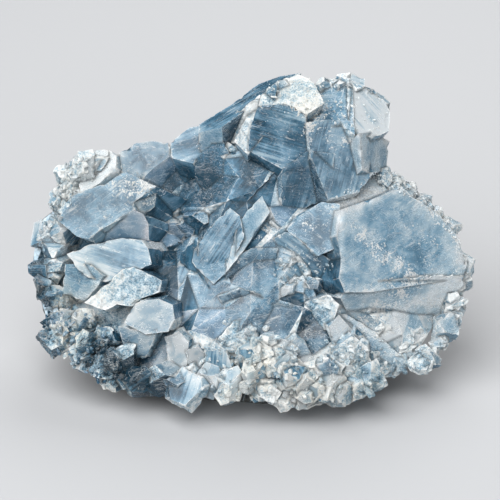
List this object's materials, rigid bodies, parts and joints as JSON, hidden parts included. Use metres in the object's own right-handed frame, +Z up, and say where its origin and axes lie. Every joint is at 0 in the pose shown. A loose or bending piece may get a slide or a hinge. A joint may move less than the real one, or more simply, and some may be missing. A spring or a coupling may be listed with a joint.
{
  "type": "celestine crystal cluster",
  "caption": "Hand-sized cluster of pale blue celestine crystals, intergrown in a bowl of grey geode rind that rests on a flat cut base.",
  "frame": {"origin": "the middle of the bottom of the whole cluster's box, on the surface that it rests on", "axes": "+Z up, +X to the right along the longest side as the crystal side is seen, -Y towards the open crystal side"},
  "size_m": [0.114, 0.0836, 0.0726],
  "materials": {
    "celestine": "clear to frosted",
    "rind_rock": "rough"
  },
  "bodies": {
    "root": {"celestite_crystals": "celestine", "matrix_rind": "rind_rock"}
  },
  "joints": []
}
